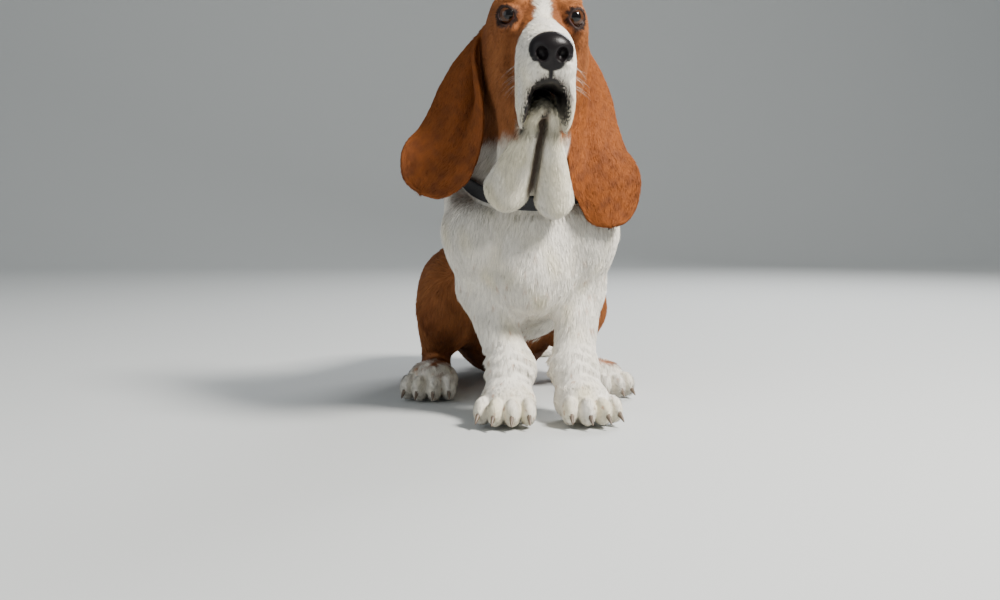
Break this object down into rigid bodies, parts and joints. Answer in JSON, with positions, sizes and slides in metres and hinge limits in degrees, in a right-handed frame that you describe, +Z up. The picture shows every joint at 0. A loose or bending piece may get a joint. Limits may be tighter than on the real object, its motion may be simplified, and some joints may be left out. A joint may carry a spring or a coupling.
{
  "type": "basset hound",
  "caption": "Life-size basset hound that sits on its haunches, with long hanging ears, loose dewlap and a plain flat collar",
  "frame": {"origin": "on the floor, under the middle of the bounding box", "axes": "+Z up, the hound faces -Y, its own left side is +X"},
  "size_m": [0.3366, 0.8816, 0.5592],
  "materials": {
    "coat_tan": "short smooth tan and rust fur",
    "coat_white": "short smooth white fur",
    "nose_leather": "moist pebbled black nose leather",
    "eye": "dark brown wet eye",
    "claw": "dull dark horn",
    "collar_strap": "black woven strap",
    "collar_metal": "plain steel fittings"
  },
  "bodies": {
    "root": {"head": "coat_tan", "nose": "nose_leather", "ear_left": "coat_tan", "ear_right": "coat_tan", "eye_left": "eye", "eye_right": "eye", "neck": "coat_white", "torso": "coat_white", "tail": "coat_white", "foreleg_left": "coat_white", "foreleg_right": "coat_white", "hindleg_left": "coat_tan", "hindleg_right": "coat_tan", "claw_foreleg_left_1": "claw", "claw_foreleg_left_2": "claw", "claw_foreleg_left_3": "claw", "claw_foreleg_left_4": "claw", "claw_foreleg_right_1": "claw", "claw_foreleg_right_2": "claw", "claw_foreleg_right_3": "claw", "claw_foreleg_right_4": "claw", "claw_hindleg_left_1": "claw", "claw_hindleg_left_2": "claw", "claw_hindleg_left_3": "claw", "claw_hindleg_left_4": "claw", "claw_hindleg_right_1": "claw", "claw_hindleg_right_2": "claw", "claw_hindleg_right_3": "claw", "claw_hindleg_right_4": "claw", "collar_band": "collar_strap", "collar_buckle": "collar_metal", "collar_ring": "collar_metal"}
  },
  "joints": []
}
